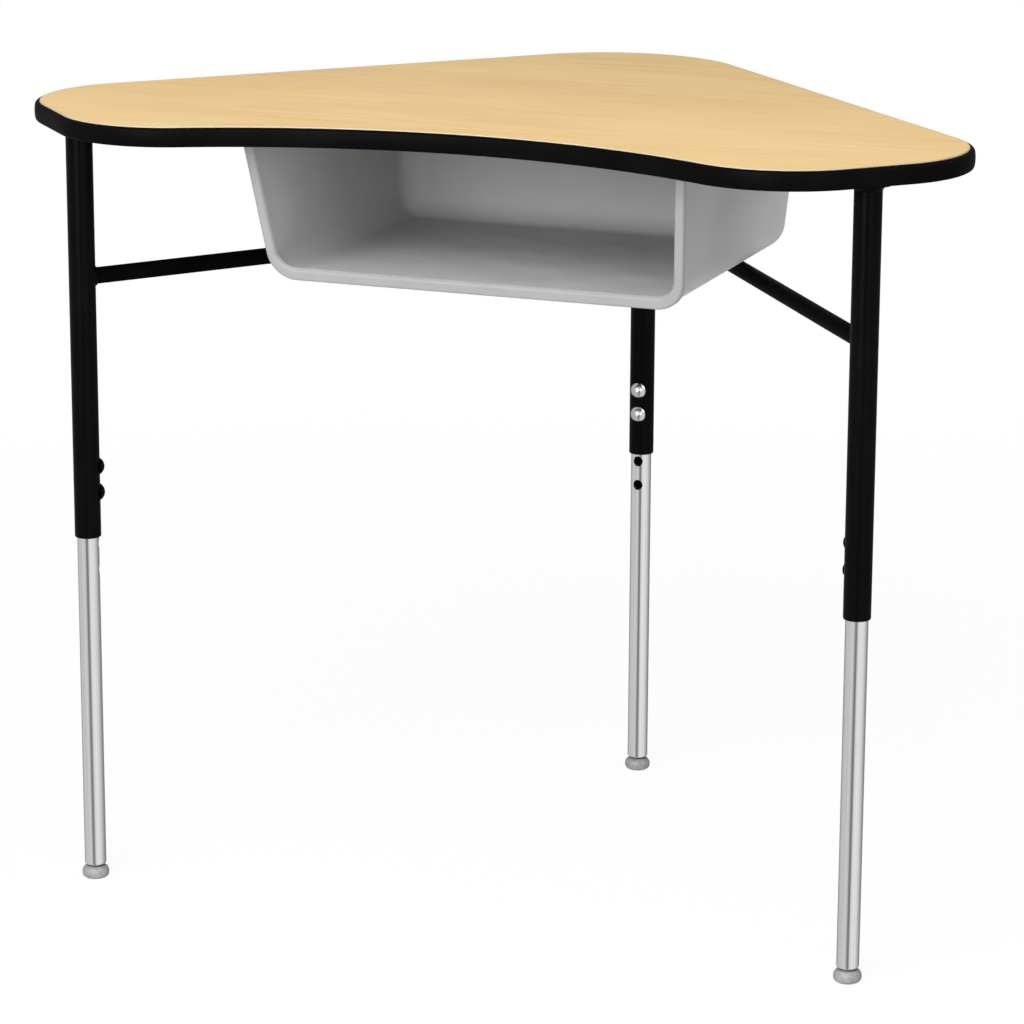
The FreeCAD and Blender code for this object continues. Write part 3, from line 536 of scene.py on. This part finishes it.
def grey_moulding():
    """Mid grey plastic: a fine mould grain, slight waves in its faces, a very slight cloudiness, and a darker
    grey on the rim's forward faces as painted shade.
    """
    material, tree, shader = start_finish("grey_moulding")
    cloud = speckle(tree, 9, detail=3)
    moulded, shaded_rim = ramp(tree, cloud, BOX_GREYS), ramp(tree, cloud, RIM_SHADE_GREYS)
    # The rim's forward faces take the darker greys: painted shade.
    tree.links.new(mix_colours(tree, rim_shade_share(tree), moulded, shaded_rim), shader.inputs["Base Color"])
    grain = speckle(tree, 1100, detail=3)
    tree.links.new(spread(tree, grain, *BOX_ROUGHNESS), shader.inputs["Roughness"])
    shader.inputs["Specular IOR Level"].default_value = BOX_GLOSS
    waves = speckle(tree, 16, detail=1, stretch=(1, 1, 0.3))
    links, values = {0: grain, 2: waves}, {1: GRAIN_SHARE}
    relief = add_node(tree, "ShaderNodeMath", links, values, operation="MULTIPLY_ADD")
    roughen(tree, shader, relief.outputs["Value"], WAVE_RELIEF)
    return material


dress(grey_moulding(), "book_box")


# Height bolts
# Two domed bolts for each leg. The front legs' bolts are coated black with the frame, and the rear leg's
# are bright zinc.
dress(black_coat, "left_adjust_bolts", "right_adjust_bolts")
dress(zinc_plate("zinc_bolts", 0.2), "rear_adjust_bolts")


# Leg inserts
# Drawn steel tube with bright chrome plate. Fine lines run along it from the drawing die. The plate doesn't
# reach into the bore, which is dull dark steel.
CHROME_GREYS = [(0.3, (0.74, 0.74, 0.75, 1)), (0.7, (0.84, 0.84, 0.85, 1))]
CHROME_ROUGHNESS = (0.07, 0.13)
CHROME_RELIEF = 0.00001
PLATED_RADIUS = 0.0097
BARE_RADIUS = 0.0093
BARE_STEEL = (0.03, 0.03, 0.03, 1)
BARE_ROUGHNESS = 0.7


def in_bore(tree, axis):
    """1 in a tube's bore and 0 on its outside: the distance to the tube's axis is the length of the point's
    flat offset from it."""
    flat = place_pattern(tree, stretch=(1, 1, 0))
    apart = add_node(tree, "ShaderNodeVectorMath", {0: flat}, operation="DISTANCE")
    apart.inputs[1].default_value = (axis[0], axis[1], 0)
    limits = {"From Min": PLATED_RADIUS, "From Max": BARE_RADIUS}
    return add_node(tree, "ShaderNodeMapRange", {"Value": apart.outputs["Value"]}, limits).outputs["Result"]


def bright_chrome(leg):
    """Chrome with faint lines along the tube, and bare steel in its bore."""
    material, tree, shader = start_finish(f"{leg}_chrome")
    shader.inputs["Metallic"].default_value = 1.0
    lines = speckle(tree, 900, detail=3, stretch=(1, 1, 0.004))
    plate = ramp(tree, lines, CHROME_GREYS)
    bore = in_bore(tree, np.mean(nodes[f"{leg}_leg_insert"].bound_box, axis=0))
    tree.links.new(mix_colours(tree, bore, plate, BARE_STEEL), shader.inputs["Base Color"])
    links = {"Factor": bore, "A": spread(tree, lines, *CHROME_ROUGHNESS)}
    gloss = add_node(tree, "ShaderNodeMix", links, {"B": BARE_ROUGHNESS})
    tree.links.new(gloss.outputs["Result"], shader.inputs["Roughness"])
    roughen(tree, shader, lines, CHROME_RELIEF)
    return material


for leg in LEG_NAMES:
    dress(bright_chrome(leg), f"{leg}_leg_insert")


# Glides
# Each is a bulged foot of grey nylon, snapped over the ball of a zinc-plated stud. The stud turns in a
# black plug that is pressed into the insert's end.
GREY_NYLON = [(0.3, (0.185, 0.185, 0.182, 1)), (0.7, (0.265, 0.265, 0.262, 1))]
BLACK_NYLON = [(0.3, (0.01, 0.01, 0.01, 1)), (0.7, (0.02, 0.02, 0.02, 1))]
NYLON_ROUGHNESS = (0.38, 0.5)
NYLON_RELIEF = 0.00004


def nylon(name, tones):
    """Nylon with a soft waxy gloss and a faint mottle."""
    material, tree, shader = start_finish(name)
    mottle = speckle(tree, 260, detail=4)
    tree.links.new(ramp(tree, mottle, tones), shader.inputs["Base Color"])
    tree.links.new(spread(tree, mottle, *NYLON_ROUGHNESS), shader.inputs["Roughness"])
    roughen(tree, shader, mottle, NYLON_RELIEF)
    return material


dress(nylon("grey_nylon", GREY_NYLON), *(f"{leg}_glide_base" for leg in LEG_NAMES))
dress(nylon("black_nylon", BLACK_NYLON), *(f"{leg}_glide_plug" for leg in LEG_NAMES))
dress(zinc_plate("zinc_studs", 0.28), *(f"{leg}_glide_stud" for leg in LEG_NAMES))


# Studio
# A white floor without corners, a white surround and large soft lamps, most of them above and in front of
# the desk.
FLOOR_REACH = 30.0
FLOOR_WHITE = (0.86, 0.86, 0.86, 1)
FLOOR_ROUGHNESS = 0.9
SHADOW_FADE = {"From Min": 0.5, "From Max": 2.0, "To Min": 0.94, "To Max": 1.0}
WHITE = (1, 1, 1, 1)
SOFT_LIGHT = 0.20


def studio_floor():
    """A wide flat sheet under the feet. Light sees a pale floor. The camera sees the white surround through
    it, under a trace of the object's shadow that fades out with the distance. Mirrors, and a look from
    below, see the surround alone."""
    corners = [(x * FLOOR_REACH, y * FLOOR_REACH, 0) for x, y in ((-1, -1), (1, -1), (1, 1), (-1, 1))]
    mesh = bpy.data.meshes.new("floor")
    mesh.from_pydata(corners, [], [(0, 1, 2, 3)])
    material, tree, shader = start_finish("floor_white")
    shader.inputs["Base Color"].default_value = FLOOR_WHITE
    shader.inputs["Roughness"].default_value = FLOOR_ROUGHNESS
    shader.inputs["Specular IOR Level"].default_value = 0.0
    path = add_node(tree, "ShaderNodeLightPath")
    below = add_node(tree, "ShaderNodeNewGeometry").outputs["Backfacing"]
    far = add_node(tree, "ShaderNodeVectorMath", {0: place_pattern(tree)}, operation="LENGTH")
    clear_share = add_node(tree, "ShaderNodeMapRange", {"Value": far.outputs["Value"]}, SHADOW_FADE)
    links = {0: path.outputs["Is Camera Ray"], 1: clear_share.outputs["Result"]}
    seen = add_node(tree, "ShaderNodeMath", links, operation="MULTIPLY")
    links = {0: path.outputs["Is Glossy Ray"], 1: below}
    mirrored = add_node(tree, "ShaderNodeMath", links, operation="MAXIMUM")
    links = {0: seen.outputs["Value"], 1: mirrored.outputs["Value"]}
    open_share = add_node(tree, "ShaderNodeMath", links, operation="MAXIMUM")
    clear = add_node(tree, "ShaderNodeBsdfTransparent")
    links = {0: open_share.outputs["Value"], 1: shader.outputs["BSDF"], 2: clear.outputs["BSDF"]}
    sheet = add_node(tree, "ShaderNodeMixShader", links)
    tree.links.new(sheet.outputs["Shader"], tree.nodes["Material Output"].inputs["Surface"])
    mesh.materials.append(material)
    floor = bpy.data.objects.new("floor", mesh)
    bpy.context.scene.collection.objects.link(floor)


def grey(level):
    """An opaque grey."""
    return (level, level, level, 1)


# Brightness of the surround as a mirror sees it, by its bearing: 0 is -X, 0.25 is -Y and 0.5 is +X
STUDIO_PANELS = [
    (0.00, grey(0.64)),
    (0.13, grey(0.66)),
    (0.18, grey(0.74)),
    (0.23, grey(0.62)),
    (0.265, grey(0.24)),
    (0.305, grey(0.24)),
    (0.34, grey(0.80)),
    (0.40, grey(0.92)),
    (0.50, grey(0.84)),
    (0.58, grey(0.58)),
    (0.64, grey(0.34)),
    (0.75, grey(0.22)),
    (0.88, grey(0.34)),
    (0.95, grey(0.50)),
    (1.00, grey(0.64)),
]


def studio_surround():
    """White for the camera, panels of several greys for mirrors and a plain soft light for the rest."""
    world = bpy.data.worlds.new("studio")
    bpy.context.scene.world = world
    world.use_nodes = True
    tree = world.node_tree
    tree.nodes.clear()
    path = add_node(tree, "ShaderNodeLightPath")
    light = add_node(tree, "ShaderNodeBackground", values={"Color": WHITE, "Strength": SOFT_LIGHT})
    white = add_node(tree, "ShaderNodeBackground", values={"Color": WHITE, "Strength": 1.0})
    direction = add_node(tree, "ShaderNodeTexCoord").outputs["Generated"]
    sides = add_node(tree, "ShaderNodeSeparateXYZ", {"Vector": direction})
    links = {0: sides.outputs["Y"], 1: sides.outputs["X"]}
    bearing = add_node(tree, "ShaderNodeMath", links, operation="ARCTAN2").outputs["Value"]
    whole_turn = {"From Min": -math.pi, "From Max": math.pi}
    turn = add_node(tree, "ShaderNodeMapRange", {"Value": bearing}, whole_turn).outputs["Result"]
    panels = ramp(tree, turn, STUDIO_PANELS)
    mirrored = add_node(tree, "ShaderNodeBackground", {"Color": panels}, {"Strength": 1.0})
    shaders = {1: light.outputs["Background"], 2: mirrored.outputs["Background"]}
    lit = add_node(tree, "ShaderNodeMixShader", {0: path.outputs["Is Glossy Ray"], **shaders})
    shaders = {1: lit.outputs["Shader"], 2: white.outputs["Background"]}
    seen = add_node(tree, "ShaderNodeMixShader", {0: path.outputs["Is Camera Ray"], **shaders})
    add_node(tree, "ShaderNodeOutputWorld", {"Surface": seen.outputs["Shader"]})


DESK_MIDDLE = (0, 0, 0.62)
# Each lamp's name, place, width in metres and power in watts
LAMPS = [
    ("key_lamp", (-0.6, -2.7, 1.9), 1.6, 72),
    ("high_lamp", (0.3, -2.2, 2.6), 2.0, 47),
    ("low_lamp", (-0.3, -3.5, 0.9), 1.6, 39),
    ("side_lamp", (2.2, -2.4, 1.1), 1.6, 22),
    ("top_lamp", (-0.3, -0.3, 3.2), 2.4, 9),
    ("rear_lamp", (2.6, 0.6, 2.3), 1.8, 24),
]


def soft_lamp(name, place, width, power):
    """A square soft lamp that faces the desk's middle."""
    data = bpy.data.lights.new(name, "AREA")
    data.shape = "SQUARE"
    data.size = width
    data.energy = power
    lamp = bpy.data.objects.new(name, data)
    lamp.location = place
    lamp.rotation_euler = (Vector(DESK_MIDDLE) - Vector(place)).to_track_quat("-Z", "Y").to_euler()
    bpy.context.scene.collection.objects.link(lamp)


studio_floor()
studio_surround()
for lamp in LAMPS:
    soft_lamp(*lamp)


# Camera
# It stands in front of the desk and to its right, above the desktop, as the photograph's did. A long lens
# keeps the legs close to upright.
CAMERA_PLACE = (1.33655, -3.59929, 1.35989)
CAMERA_YAW = math.radians(20.8658)
CAMERA_PITCH = math.radians(14.7163)
CAMERA_ROLL = math.radians(-0.2477)
CAMERA_LENS = 142.27
SENSOR_WIDTH = 36.0
CAMERA_REACH = 100


def photo_camera():
    """Looks along yaw and pitch, then rolls about its own line of sight."""
    ahead = Vector(
        (
            -math.sin(CAMERA_YAW) * math.cos(CAMERA_PITCH),
            math.cos(CAMERA_YAW) * math.cos(CAMERA_PITCH),
            -math.sin(CAMERA_PITCH),
        )
    )
    level = Vector((math.cos(CAMERA_YAW), math.sin(CAMERA_YAW), 0))
    down = ahead.cross(level)
    right = math.cos(CAMERA_ROLL) * level + math.sin(CAMERA_ROLL) * down
    up = right.cross(ahead)
    data = bpy.data.cameras.new("photo_camera")
    data.lens = CAMERA_LENS
    data.sensor_width = SENSOR_WIDTH
    data.clip_end = CAMERA_REACH
    camera = bpy.data.objects.new("photo_camera", data)
    turn = Matrix((right, up, -ahead)).transposed().to_4x4()
    camera.matrix_world = Matrix.Translation(CAMERA_PLACE) @ turn
    bpy.context.scene.collection.objects.link(camera)
    bpy.context.scene.camera = camera


photo_camera()
bpy.context.scene.view_settings.view_transform = "Standard"
